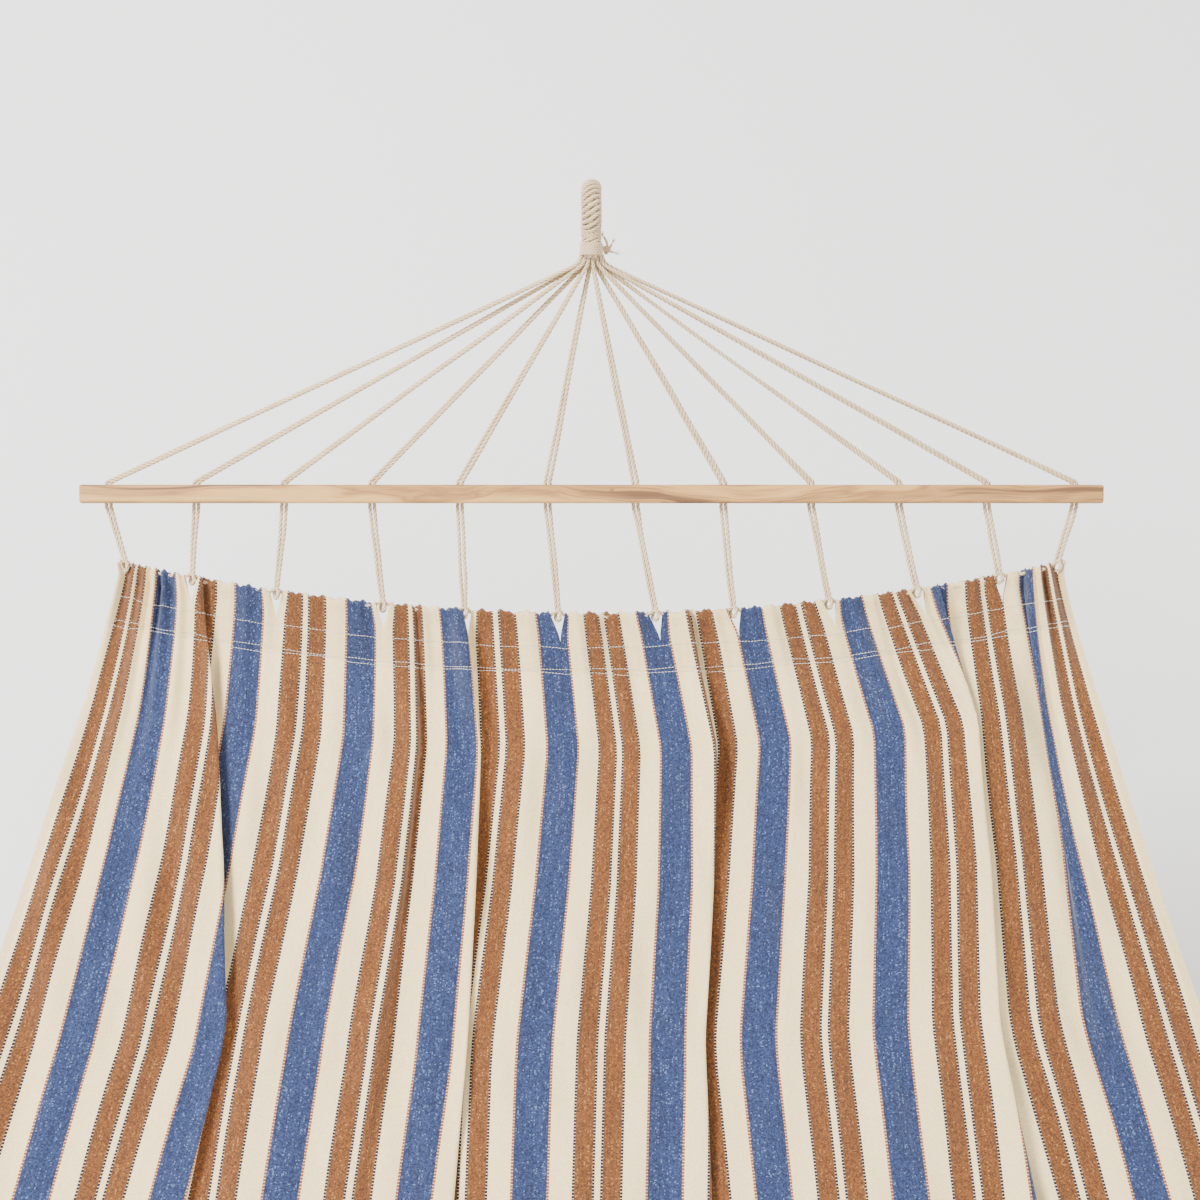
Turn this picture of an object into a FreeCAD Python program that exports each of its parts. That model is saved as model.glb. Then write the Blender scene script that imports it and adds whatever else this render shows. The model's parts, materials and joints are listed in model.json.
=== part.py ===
import FreeCAD, Part
import math
import os

import Sketcher
from FreeCAD import Placement, Rotation, Vector

# Cloth hammock with two spreader bars, as it hangs unloaded between two hooks.
# X runs along the bars, Y from the foot eye to the head eye, Z is up.
# The origin is where the hook bears inside the head eye.  Millimetres and degrees.

DIMENSIONS = [
    # spreader bar
    ("bar_length", 1100, "length of a spreader bar"),
    ("bar_thickness", 20, "bar, along the cords"),
    ("bar_depth", 38, "bar, across the cords"),
    ("bar_rounding", 3, "radius on every edge of the bar"),
    ("bar_tilt", 24, "slope of the bar's hole axes"),
    ("cord_count", 12, "doubled cords at each end"),
    ("hole_pitch", 95, "distance between bar holes"),
    ("hole_diameter", 11, "bar hole"),
    # cords
    ("strand_diameter", 4.5, "one strand of a doubled cord"),
    ("twin_gap", 5.0, "centre distance of the two strands"),
    ("hinge_offset", 2.6, "where a cord bends, off the bar's face"),
    ("cord_recess", 0.5, "how far the cord inside a hole stays below the bar's face"),
    ("fan_slope", 30, "slope of the upper cords"),
    ("fan_height", 237, "neck to bar, along the slope"),
    ("fan_start", 24, "where the strands come free of each other, from the neck"),
    ("fan_layer", 5.2, "strand layers at the neck"),
    # eye
    ("eye_length", 85, "neck to the top of the eye"),
    ("eye_width", 67, "eye, outside"),
    ("leg_diameter", 22, "eye leg with its whipping"),
    ("core_diameter", 15, "bundle of strands inside the whipping"),
    ("leg_spacing", 22.4, "centre distance of the eye's legs"),
    ("shoulder_radius", 18, "bend from a leg into the eye's ring"),
    ("binding_start", 4, "neck to the binding"),
    ("binding_height", 15, "neck binding"),
    ("binding_wall", 5, "cord wound round the legs"),
    ("knot_diameter", 10, "binding knot"),
    # bed
    ("bed_slope", 17.5, "slope of the bed's ends"),
    ("bed_arc", 1760, "length of the bed's curved middle"),
    ("bed_straight", 150, "length of each sloping end below the hem's lowest point"),
    ("bed_half_width", 745, "half the bed's width at its middle"),
    ("hem_half_width", 508, "half the bed's width at the hem"),
    ("hem_drop", 116, "lower face of the bar to the hem, at the middle"),
    ("hem_radius", 2355, "curve of the hem"),
    ("cloth_thickness", 1.5, "bed cloth"),
    ("channel_radius", 4.2, "hem channel, outside"),
    ("channel_bore", 3.0, "hem channel, inside radius"),
    ("header_diameter", 4.5, "rope in the hem channel"),
    ("header_half_length", 512, "half the header rope, along X"),
    ("notch_width", 13, "notch in the hem"),
    ("notch_depth", 30, "notch in the hem"),
    ("corner_notch_width", 24, "notch at the hem's corners"),
    ("corner_notch_depth", 18, "notch at the hem's corners"),
]

# where each doubled cord meets the hem, along X; the cloth is gathered, so they are unevenly spaced
HEM_PLACES = [-503, -431, -340, -225, -137, -36, 69, 153, 256, 351, 440, 503]

# a ball that joins two round runs is this much larger than they are, so that their surfaces don't coincide
BALL_MARGIN = 1.03

os.makedirs("parts", exist_ok=True)
doc = FreeCAD.newDocument("hammock")
nodes = []


def make_sheet():
    sheet = doc.addObject("Spreadsheet::Sheet", "Sizes")
    for row, (alias, value, note) in enumerate(DIMENSIONS, start=1):
        sheet.set(f"A{row}", note)
        sheet.set(f"B{row}", str(value))
        sheet.setAlias(f"B{row}", alias)
    doc.recompute()
    return sheet


sizes = make_sheet()


def size(alias):
    return float(sizes.get(alias))


# ---------------------------------------------------------------- places

def slope_placement(origin, slope):
    """A frame whose Y axis climbs at the slope towards the head eye and whose X axis is the row's."""
    return Placement(origin, Rotation(Vector(1, 0, 0), slope))


bearing_height = size("eye_length") - size("leg_diameter")
fan_axis = slope_placement(Vector(0, 0, 0), size("fan_slope"))
neck = fan_axis.multVec(Vector(0, -bearing_height, 0))
fan_frame = slope_placement(neck, size("fan_slope"))
upper_fold = fan_frame.multVec(Vector(0, -size("fan_height"), 0))
half_bar = size("bar_thickness") / 2 + size("hinge_offset")
bar_centre = slope_placement(upper_fold, size("bar_tilt")).multVec(Vector(0, -half_bar, 0))
bar_frame = slope_placement(bar_centre, size("bar_tilt"))
lower_fold = bar_frame.multVec(Vector(0, -half_bar, 0))
bed_frame = slope_placement(lower_fold, size("bed_slope"))
arc_radius = size("bed_arc") / 2 / math.radians(size("bed_slope"))
arc_start = size("hem_drop") + size("bed_straight")
arc_centre = bed_frame.multVec(Vector(0, -arc_start, arc_radius))
half_turn = Placement(Vector(0, 2 * arc_centre.y, 0), Rotation(Vector(0, 0, 1), 180))
ENDS = {"head": Placement(), "foot": half_turn}


def hole_places():
    count = int(size("cord_count"))
    pitch = size("hole_pitch")
    return [(i - (count - 1) / 2) * pitch for i in range(count)]


def hem_line(x):
    """Distance from the lower fold to the top of the hem, at a place along X."""
    radius = size("hem_radius")
    return size("hem_drop") - radius + math.sqrt(radius**2 - x**2)


# ---------------------------------------------------------------- helpers

def origin_plane(body, role):
    return next(feature for feature in body.Origin.OriginFeatures if feature.Role == role)


def new_sketch(body, name, role):
    sketch = body.newObject("Sketcher::SketchObject", name)
    sketch.AttachmentSupport = [(origin_plane(body, role), "")]
    sketch.MapMode = "FlatFace"
    return sketch


def name_length(sketch, kind, geometry, value, name, alias):
    number = sketch.addConstraint(Sketcher.Constraint(kind, *geometry, value))
    sketch.renameConstraint(number, name)
    sketch.setExpression(f"Constraints.{name}", alias)


def keep(item, label, placement):
    """Names a finished sub-part, puts it in its place and lists it for export."""
    item.Label = label
    item.Placement = placement
    nodes.append(item)
    return item


def keep_shape(shape, label, placement):
    item = doc.addObject("Part::Feature", label)
    item.Shape = shape
    return keep(item, label, placement)


def rod(start, end, diameter):
    """A round cord from start to end, with a ball end at its start."""
    run = end - start
    cylinder = Part.makeCylinder(diameter / 2, run.Length, start, run)
    return cylinder.fuse(Part.makeSphere(diameter / 2, start)).removeSplitter()


def pipe(edges, diameter):
    """A round tube along tangent edges."""
    path = Part.Wire(edges)
    first = path.Edges[0]
    start = first.valueAt(first.FirstParameter)
    tangent = first.tangentAt(first.FirstParameter)
    section = Part.Wire(Part.makeCircle(diameter / 2, start, tangent))
    return path.makePipeShell([section], True, True)


# ---------------------------------------------------------------- spreader bar

def make_bar(end, placement):
    body = doc.addObject("PartDesign::Body", f"{end}_bar_body")
    outline = new_sketch(body, f"{end}_bar_outline", "XY_Plane")
    half_x = size("bar_length") / 2
    half_y = size("bar_depth") / 2
    corners = [Vector(sx * half_x, sy * half_y, 0) for sx, sy in [(-1, -1), (1, -1), (1, 1), (-1, 1)]]
    for i in range(4):
        outline.addGeometry(Part.LineSegment(corners[i], corners[(i + 1) % 4]))
    for i in range(4):
        outline.addConstraint(Sketcher.Constraint("Coincident", i, 2, (i + 1) % 4, 1))
        outline.addConstraint(Sketcher.Constraint("Horizontal" if i % 2 == 0 else "Vertical", i))
    outline.addConstraint(Sketcher.Constraint("Symmetric", 0, 1, 2, 1, -1, 1))
    name_length(outline, "DistanceX", (0, 1, 0, 2), size("bar_length"), "long_side", "Sizes.bar_length")
    name_length(outline, "DistanceY", (1, 1, 1, 2), size("bar_depth"), "short_side", "Sizes.bar_depth")
    pad = body.newObject("PartDesign::Pad", f"{end}_bar_pad")
    pad.Profile = outline
    pad.Midplane = True
    pad.setExpression("Length", "Sizes.bar_thickness")
    doc.recompute()

    rounding = body.newObject("PartDesign::Fillet", f"{end}_bar_rounding")
    rounding.Base = (pad, [f"Edge{i + 1}" for i in range(len(pad.Shape.Edges))])
    rounding.setExpression("Radius", "Sizes.bar_rounding")
    doc.recompute()

    circle = new_sketch(body, f"{end}_bar_hole_circle", "XY_Plane")
    first_hole = hole_places()[0]
    radius = size("hole_diameter") / 2
    circle.addGeometry(Part.Circle(Vector(first_hole, 0, 0), Vector(0, 0, 1), radius))
    circle.addConstraint(Sketcher.Constraint("PointOnObject", 0, 3, -1))
    name_length(circle, "Diameter", (0,), 2 * radius, "bore", "Sizes.hole_diameter")
    name_length(circle, "DistanceX", (0, 3, -1, 1), -first_hole, "from_middle",
                "Sizes.hole_pitch * (Sizes.cord_count - 1) / 2")
    hole = body.newObject("PartDesign::Pocket", f"{end}_bar_hole")
    hole.Profile = circle
    hole.Type = "ThroughAll"
    hole.Midplane = True
    doc.recompute()

    holes = body.newObject("PartDesign::LinearPattern", f"{end}_bar_holes")
    holes.Originals = [hole]
    holes.Direction = (circle, ["H_Axis"])
    holes.setExpression("Length", "Sizes.hole_pitch * (Sizes.cord_count - 1)")
    holes.setExpression("Occurrences", "Sizes.cord_count")
    body.Tip = holes
    doc.recompute()
    drilled = rounding.Shape.Volume - holes.Shape.Volume
    expected = size("cord_count") * math.pi * radius**2 * size("bar_thickness")
    print(f"{end} bar holes remove {drilled:.0f} mm3, expected {expected:.0f}")
    # the body's Z axis, through its holes, becomes the bar frame's Y axis
    upright = Placement(Vector(0, 0, 0), Rotation(Vector(1, 0, 0), -90))
    keep(body, f"{end}_bar", placement.multiply(bar_frame).multiply(upright))


# ---------------------------------------------------------------- eye

def eye_path(foot_height):
    """The closed-topped loop of an eye in its own plane: up one leg, round the ring and down the other."""
    leg = size("leg_spacing") / 2
    ring = (size("eye_width") - size("leg_diameter")) / 2
    ring_height = bearing_height + size("leg_diameter") / 2 - ring
    shoulder = size("shoulder_radius")
    shoulder_height = ring_height - math.sqrt((ring + shoulder)**2 - (leg + shoulder)**2)
    to_ring = math.atan2(ring_height - shoulder_height, -(leg + shoulder))
    ring_end = (ring * math.cos(to_ring + math.pi), ring_height + ring * math.sin(to_ring + math.pi))
    middle = (math.pi + to_ring) / 2
    shoulder_middle = (leg + shoulder + shoulder * math.cos(middle), shoulder_height + shoulder * math.sin(middle))

    def point(across, up, side):
        return Vector(0, up, side * across)

    def shoulder_arc(side):
        return Part.Arc(point(leg, shoulder_height, side), point(*shoulder_middle, side), point(*ring_end, side))

    ring_top = Part.Arc(point(*ring_end, 1), point(0, ring_height + ring, 1), point(*ring_end, -1))
    legs = [Part.LineSegment(point(leg, foot_height, side), point(leg, shoulder_height, side)) for side in (1, -1)]
    curves = [legs[0], shoulder_arc(1), ring_top, shoulder_arc(-1), legs[1]]
    return Part.__sortEdges__([curve.toShape() for curve in curves])


def make_eye(end, placement):
    place = placement.multiply(fan_frame)
    bound_to = size("binding_start") + size("binding_height")
    core = pipe(eye_path(size("binding_start")), size("core_diameter"))
    keep_shape(core, f"{end}_eye_core", place)
    whipping = pipe(eye_path(bound_to), size("leg_diameter")).cut(core)
    keep_shape(whipping, f"{end}_eye_whipping", place)

    make_binding(end, place)

    knot = doc.addObject("Part::Sphere", f"{end}_knot_ball")
    knot.setExpression("Radius", "Sizes.knot_diameter / 2")
    reach = (size("core_diameter") + size("knot_diameter")) / 2 + size("binding_wall")
    knot_height = size("binding_start") + size("binding_height") / 2
    keep(knot, f"{end}_binding_knot", place.multiply(Placement(Vector(reach, knot_height, 0), Rotation())))


def make_binding(end, place):
    """A band with rounded sides wound round both legs; its own Z axis runs up the legs."""
    web = doc.addObject("Part::Box", f"{end}_binding_web")
    web.setExpression("Length", "Sizes.core_diameter + 2 * Sizes.binding_wall")
    web.setExpression("Width", "Sizes.leg_spacing")
    web.setExpression("Height", "Sizes.binding_height")
    web.Placement.Base = Vector(-(size("core_diameter") / 2 + size("binding_wall")), -size("leg_spacing") / 2, 0)
    turns = [web]
    legs = []
    for side in (-1, 1):
        turn = doc.addObject("Part::Cylinder", f"{end}_binding_turn")
        turn.setExpression("Radius", "Sizes.core_diameter / 2 + Sizes.binding_wall")
        leg = doc.addObject("Part::Cylinder", f"{end}_binding_leg")
        leg.setExpression("Radius", "Sizes.core_diameter / 2")
        for cylinder in (turn, leg):
            cylinder.setExpression("Height", "Sizes.binding_height")
            cylinder.Placement.Base = Vector(0, side * size("leg_spacing") / 2, 0)
        turns.append(turn)
        legs.append(leg)
    band = doc.addObject("Part::MultiFuse", f"{end}_binding_band")
    band.Shapes = turns
    passages = doc.addObject("Part::MultiFuse", f"{end}_binding_passages")
    passages.Shapes = legs
    binding = doc.addObject("Part::Cut", f"{end}_binding_cut")
    binding.Base = band
    binding.Tool = passages
    upright = Placement(Vector(0, size("binding_start"), 0), Rotation(Vector(1, 0, 0), -90))
    keep(binding, f"{end}_neck_binding", place.multiply(upright))


# ---------------------------------------------------------------- cords

def make_upper_cords(end, placement):
    """Doubled cords fan out from the neck; each pair stands on edge there and lies flat at the bar."""
    for number, x in enumerate(hole_places(), start=1):
        bar_end = Vector(x, -size("fan_height"), 0)
        free = bar_end.normalize() * size("fan_start")
        layer = size("fan_layer") * (1 if number % 2 else -1)
        strands = []
        for side in (-1, 1):
            low = Vector(x + side * size("twin_gap") / 2, -size("fan_height"), 0)
            high = free + Vector(0, 0, layer + side * size("fan_layer") / 2)
            strands.append(rod(low, high, size("strand_diameter")))
        keep_shape(Part.makeCompound(strands), f"{end}_upper_cord_{number:02d}", placement.multiply(fan_frame))


def make_bar_cords(end, placement):
    half = size("bar_thickness") / 2 - size("cord_recess")
    strands = []
    for x in hole_places():
        for side in (-1, 1):
            low = Vector(x + side * size("twin_gap") / 2, -half, 0)
            strands.append(Part.makeCylinder(size("strand_diameter") / 2, 2 * half, low, Vector(0, 1, 0)))
    keep_shape(Part.makeCompound(strands), f"{end}_bar_cords", placement.multiply(bar_frame))


def header_line(x):
    return -(hem_line(x) + size("channel_radius"))


def make_lower_loops(end, placement):
    """Each doubled cord runs from its hole down to the hem and turns round the header rope."""
    turn = size("fan_layer")
    diameter = size("strand_diameter")
    loops = []
    for x, hem_x in zip(hole_places(), HEM_PLACES):
        y = header_line(hem_x)
        ends = [Vector(hem_x, y, side * turn) for side in (-1, 1)]
        strands = [rod(Vector(x + side * size("twin_gap") / 2, 0, 0), ends[(side + 1) // 2], diameter)
                   for side in (-1, 1)]
        bend = pipe([Part.Arc(ends[0], Vector(hem_x, y - turn, 0), ends[1]).toShape()], diameter)
        balls = [Part.makeSphere(diameter / 2 * BALL_MARGIN, point) for point in ends]
        loops.append(bend.fuse(balls).fuse(strands))
    keep_shape(Part.makeCompound(loops), f"{end}_lower_loops", placement.multiply(bed_frame))


def hem_arc(half_length):
    """The middle line of the hem channel, as one arc in the bed frame."""
    ends = [Vector(side * half_length, header_line(half_length), 0) for side in (-1, 1)]
    return Part.Arc(ends[0], Vector(0, header_line(0), 0), ends[1]).toShape()


def make_header_rope(end, placement):
    arc = hem_arc(size("header_half_length"))
    rope = pipe([arc], size("header_diameter"))
    stops = [Part.makeSphere(size("header_diameter"), vertex.Point) for vertex in arc.Vertexes]
    keep_shape(rope.fuse(stops), f"{end}_header_rope", placement.multiply(bed_frame))


# ---------------------------------------------------------------- bed cloth

def arc_point(angle, height):
    """A point over the bed's curved middle, by its angle from the lowest line."""
    reach = arc_radius - height
    return Vector(0, arc_centre.y + reach * math.sin(angle), arc_centre.z - reach * math.cos(angle))


def bed_curves(height):
    """The bed's side view at a height over its middle surface: slope, arc, slope, from head to foot."""
    slope = math.radians(size("bed_slope"))
    top = bed_frame.multVec(Vector(0, -hem_line(size("hem_half_width")), height))
    head_corner = arc_point(slope, height)
    foot_corner = arc_point(-slope, height)
    return [
        Part.LineSegment(top, head_corner).toShape(),
        Part.Arc(head_corner, arc_point(0, height), foot_corner).toShape(),
        Part.LineSegment(foot_corner, half_turn.multVec(top)).toShape(),
    ]


def make_slab():
    """The cloth before its outline is cut: the side view drawn out along X."""
    half = size("cloth_thickness") / 2
    lower = bed_curves(-half)
    upper = bed_curves(half)
    ends = [Part.makeLine(lower[i].Vertexes[i // 2].Point, upper[i].Vertexes[i // 2].Point) for i in (0, 2)]
    outline = Part.Wire(Part.__sortEdges__(lower + upper + ends))
    width = 2 * size("bed_half_width") + 20
    slab = Part.Face(outline).extrude(Vector(width, 0, 0))
    slab.translate(Vector(-width / 2, 0, 0))
    return slab


def plan_prism():
    """The cloth's plan, widest at its middle, as a tall prism."""
    deep = Vector(0, 0, -1000)
    corner_x = size("hem_half_width")
    corner = bed_frame.multVec(Vector(corner_x, -hem_line(corner_x), 0))
    corner.z = 0
    beyond = Vector(0, size("hem_drop"), 0)
    opposite = Vector(corner.x, 2 * arc_centre.y - corner.y, 0)
    right = [corner + beyond, corner, Vector(size("bed_half_width"), arc_centre.y, 0), opposite, opposite - beyond]
    left = [Vector(-point.x, point.y, 0) for point in right]
    edges = [Part.makeLine(right[0], left[0]), Part.makeLine(right[4], left[4])]
    for side in (left, right):
        edges.append(Part.makeLine(side[0], side[1]))
        edges.append(Part.Arc(side[1], side[2], side[3]).toShape())
        edges.append(Part.makeLine(side[3], side[4]))
    prism = Part.Face(Part.Wire(Part.__sortEdges__(edges))).extrude(deep)
    prism.translate(deep * -0.5)
    return prism


def hem_cutter():
    """Everything between the bar and the middle of the hem channel, in the bed frame."""
    clear = 40
    radius = size("hem_radius") + size("channel_radius")
    centre = Vector(0, size("hem_radius") - size("hem_drop"), -clear)
    return Part.makeCylinder(radius, 2 * clear, centre, Vector(0, 0, 1))


def notch(x, width, depth):
    above = 20
    low = Vector(x - width / 2, -hem_line(x) - depth, -above)
    return Part.makeBox(width, depth + above, 2 * above, low)


def make_bed_cloth():
    cloth = make_slab().common(plan_prism())
    corner = size("hem_half_width")
    for placement in ENDS.values():
        place = placement.multiply(bed_frame)
        cutter = hem_cutter()
        channel = pipe([hem_arc(corner - size("notch_width"))], 2 * size("channel_radius"))
        bore = pipe([hem_arc(corner)], 2 * size("channel_bore"))
        notches = [notch(x, size("notch_width"), size("notch_depth")) for x in HEM_PLACES[1:-1]]
        for x in (HEM_PLACES[0], HEM_PLACES[-1]):
            notches.append(notch(x, size("corner_notch_width"), size("corner_notch_depth")))
        for shape in [cutter, channel, bore] + notches:
            shape.Placement = place
        cloth = cloth.cut(cutter).fuse(channel).cut([bore] + notches)
    keep_shape(cloth.removeSplitter(), "bed_cloth", Placement())


# ---------------------------------------------------------------- build and export

for end, placement in ENDS.items():
    make_bar(end, placement)
    make_eye(end, placement)
    make_upper_cords(end, placement)
    make_bar_cords(end, placement)
    make_lower_loops(end, placement)
    make_header_rope(end, placement)
make_bed_cloth()
doc.recompute()

for item in doc.Objects:
    if "Invalid" in item.State or "Error" in item.State:
        raise RuntimeError(f"{item.Label} failed: {item.State}")
for item in nodes:
    if item.Shape.isNull() or not item.Shape.isValid():
        raise RuntimeError(f"{item.Label} has no valid shape")
    item.Shape.exportStep(f"parts/{item.Label}.step")
    print(f"{item.Label}: {len(item.Shape.Solids)} solids, {item.Shape.Volume:.0f} mm3")
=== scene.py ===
import json
import math

import bmesh
import bpy
import numpy as np
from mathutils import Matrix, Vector


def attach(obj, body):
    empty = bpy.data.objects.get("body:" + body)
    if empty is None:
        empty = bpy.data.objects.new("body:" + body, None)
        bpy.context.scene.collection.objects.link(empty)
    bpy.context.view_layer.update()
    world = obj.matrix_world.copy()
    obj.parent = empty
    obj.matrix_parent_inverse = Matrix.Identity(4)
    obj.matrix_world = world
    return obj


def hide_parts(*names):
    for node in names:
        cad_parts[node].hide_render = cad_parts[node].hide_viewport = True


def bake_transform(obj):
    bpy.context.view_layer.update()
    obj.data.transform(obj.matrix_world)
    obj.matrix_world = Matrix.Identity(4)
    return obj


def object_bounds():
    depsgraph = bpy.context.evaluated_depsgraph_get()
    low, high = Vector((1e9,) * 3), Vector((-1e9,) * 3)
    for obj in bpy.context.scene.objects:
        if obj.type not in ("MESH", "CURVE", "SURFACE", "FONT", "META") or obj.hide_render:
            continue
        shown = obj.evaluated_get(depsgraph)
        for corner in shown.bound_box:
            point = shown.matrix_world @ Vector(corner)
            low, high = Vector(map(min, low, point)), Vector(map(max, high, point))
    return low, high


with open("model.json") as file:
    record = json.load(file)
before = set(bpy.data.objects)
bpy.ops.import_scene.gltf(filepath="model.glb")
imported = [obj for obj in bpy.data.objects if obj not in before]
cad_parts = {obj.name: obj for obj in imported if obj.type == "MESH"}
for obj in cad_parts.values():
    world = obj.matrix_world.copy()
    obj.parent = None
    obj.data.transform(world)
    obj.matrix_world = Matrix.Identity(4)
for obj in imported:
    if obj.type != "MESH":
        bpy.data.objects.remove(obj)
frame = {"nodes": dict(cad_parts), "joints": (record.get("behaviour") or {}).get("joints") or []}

# Hammock with two spreader bars, hanging between two hooks.  Metres, in the frame's own axes: X along the bars,
# Y towards the head eye, Z up.  Places come from the frame's joints and from the sizes below.  The foot end is
# the head end turned half round.

cad_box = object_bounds()
rng = np.random.default_rng(7)

joint_at = {joint["name"]: np.array(joint["pos_m"]) for joint in frame["joints"]}
neck = joint_at["rock"]
upper_fold = joint_at["head_fan_fold"]
lower_fold = joint_at["head_bed_fold"]
middle_y = (joint_at["head_bed_fold"][1] + joint_at["foot_bed_fold"][1]) / 2
bar_centre = (upper_fold + lower_fold) / 2

# ---------------------------------------------------------------- sizes

FAN_SLOPE = math.radians(30)
BAR_TILT = math.radians(24)
BED_SLOPE = math.radians(17.5)

CORDS = 12
HOLE_PITCH = 0.095
HOLES = [(i - (CORDS - 1) / 2) * HOLE_PITCH for i in range(CORDS)]
# where each cord goes round the header rope, along X
HEM_PLACES = [-0.503, -0.431, -0.340, -0.225, -0.137, -0.036,
              0.069, 0.153, 0.256, 0.351, 0.440, 0.503]
STRAND = 0.0022  # radius of one strand of a doubled cord
LAY = 0.0165  # length in which a strand's plies turn once
TWIN = 0.0025  # half the distance between a cord's strands where they bend
TWIN_IN_BAR = 0.0024
FAN_LAYER = 0.0052  # distance between the layers of strands at the neck
INTO_HOLE = 0.0095  # how far past the bend a rope piece runs on inside the bar
# distances from the bend of a rope that bends beside a bar, outside the bar and inside it; the places at these
# distances are worked out but not used
BLEND_OUTSIDE = 0.007
BLEND_IN_BAR = 0.005

HEM_DROP = 0.116
HEM_RADIUS = 2.355
HEM_HALF_WIDTH = 0.508
HEM_CORNER_DROP = 0.057
MIDDLE_HALF_WIDTH = 0.745
BED_STRAIGHT = 0.266
BED_HALF_ARC = 0.880
HALF_RUN = BED_STRAIGHT + BED_HALF_ARC
BED_RADIUS = BED_HALF_ARC / BED_SLOPE
FLAT_WIDTH = 1.500
FLAT_LENGTH = 2.100
HALF_LENGTH = FLAT_LENGTH / 2
TURN_IN = 0.066
CHANNEL = 0.0042  # outside radius of the hem's channel

# stripes: one repeat is rust, narrow cream, rust, cream, blue, cream, with a pin stripe beside each blue and
# rust one
REPEAT = 0.1417
BLUE = 0.0358
CREAM = 0.0275
RUST = 0.0213
PIN = 0.0024
BLUE_CENTRES = [(k - 4.5) * REPEAT for k in range(10)]
# where the middles of the blue stripes come at the gathered hem, along X
BLUE_AT_HEM = [-0.461, -0.369, -0.248, -0.150, -0.043, 0.063, 0.168, 0.278, 0.375, 0.468]


# ---------------------------------------------------------------- places

def on_slope(origin, slope, across, along, off):
    """Points in a frame that climbs at a slope towards the head eye, as an array of rows."""
    across, along, off = np.broadcast_arrays(across, along, off)
    y = origin[1] + along * math.cos(slope) - off * math.sin(slope)
    z = origin[2] + along * math.sin(slope) + off * math.cos(slope)
    return np.stack([origin[0] + across, y, z], axis=-1)


def half_turn(points):
    """The same points at the foot end: half a turn about the upright line through the bed's middle."""
    return points * np.array([-1, -1, 1]) + np.array([0, 2 * middle_y, 0])


def for_end(points, end):
    return points if end == "head" else half_turn(points)


def hem_line(x):
    return HEM_DROP - HEM_RADIUS + np.sqrt(HEM_RADIUS**2 - np.square(x))


def bed_side(distance, height):
    """The bed's side view: y and z at a distance below the lower fold and a height over its middle surface."""
    start = on_slope(lower_fold, BED_SLOPE, 0.0, -BED_STRAIGHT, 0.0)
    centre_y = start[1] - BED_RADIUS * math.sin(BED_SLOPE)
    centre_z = start[2] + BED_RADIUS * math.cos(BED_SLOPE)
    straight = on_slope(lower_fold, BED_SLOPE, 0.0, -distance, height)
    angle = BED_SLOPE - (distance - BED_STRAIGHT) / BED_RADIUS
    curved_y = centre_y + (BED_RADIUS - height) * np.sin(angle)
    curved_z = centre_z - (BED_RADIUS - height) * np.cos(angle)
    sloping = distance < BED_STRAIGHT
    return np.where(sloping, straight[..., 1], curved_y), np.where(sloping, straight[..., 2], curved_z)


# ---------------------------------------------------------------- camera, lights and floor

def make_camera():
    """Looks square onto the head bar's narrow face, with the bar above the middle of the picture."""
    distance = 2.1994
    above_middle = 0.11466
    right_of_middle = -0.00919
    pitch = math.pi / 2 - BAR_TILT + math.atan2(above_middle, distance)
    forward = np.array([0, math.cos(pitch), -math.sin(pitch)])
    up = np.array([0, math.sin(pitch), math.cos(pitch)])
    right = np.array([1, 0, 0])
    camera = bpy.data.objects.new("camera", bpy.data.cameras.new("camera"))
    camera.data.lens = 61.0
    camera.data.sensor_width = 36.0
    camera.data.clip_end = 50
    camera.location = Vector(bar_centre - forward * distance - up * above_middle - right * right_of_middle)
    camera.rotation_euler = (math.pi / 2 - pitch, 0, 0)
    bpy.context.scene.collection.objects.link(camera)
    bpy.context.scene.camera = camera


def area_light(name, place, target, size, power):
    light = bpy.data.lights.new(name, "AREA")
    light.shape = "DISK"
    light.size = size
    light.energy = power
    holder = bpy.data.objects.new(name, light)
    holder.location = place
    holder.rotation_euler = (Vector(target) - Vector(place)).to_track_quat("-Z", "Y").to_euler()
    bpy.context.scene.collection.objects.link(holder)


def make_studio():
    middle = (0.0, middle_y, -0.3)
    area_light("key", (-2.6, middle_y + 1.6, 3.4), middle, size=1.6, power=430)
    area_light("fill", (2.8, middle_y - 0.8, 2.8), middle, size=3.0, power=80)
    world = bpy.data.worlds.new("studio")
    bpy.context.scene.world = world
    world.use_nodes = True
    background = world.node_tree.nodes["Background"]
    background.inputs["Color"].default_value = (1.0, 1.0, 1.0, 1.0)
    background.inputs["Strength"].default_value = 1.45

    clearance = 0.55
    half = 9.0
    floor_height = cad_box[0][2] - clearance
    corners = [(-half, -half), (half, -half), (half, half), (-half, half)]
    mesh = bpy.data.meshes.new("floor")
    mesh.from_pydata([(x, middle_y + y, floor_height) for x, y in corners], [], [(0, 1, 2, 3)])
    floor = bpy.data.objects.new("floor", mesh)
    bpy.context.scene.collection.objects.link(floor)
    mesh.materials.append(plain_material("floor_paint", (0.93, 0.93, 0.92), 0.9))


# ---------------------------------------------------------------- materials

def linear(red, green, blue):
    """A colour given in display values from 0 to 255, as the shader takes it."""
    values = [value / 255 for value in (red, green, blue)]
    return tuple(v / 12.92 if v <= 0.04045 else ((v + 0.055) / 1.055) ** 2.4 for v in values)


def plain_material(name, colour, roughness):
    material = bpy.data.materials.new(name)
    material.use_nodes = True
    shader = material.node_tree.nodes["Principled BSDF"]
    shader.inputs["Base Color"].default_value = (*colour, 1.0)
    shader.inputs["Roughness"].default_value = roughness
    return material


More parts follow.
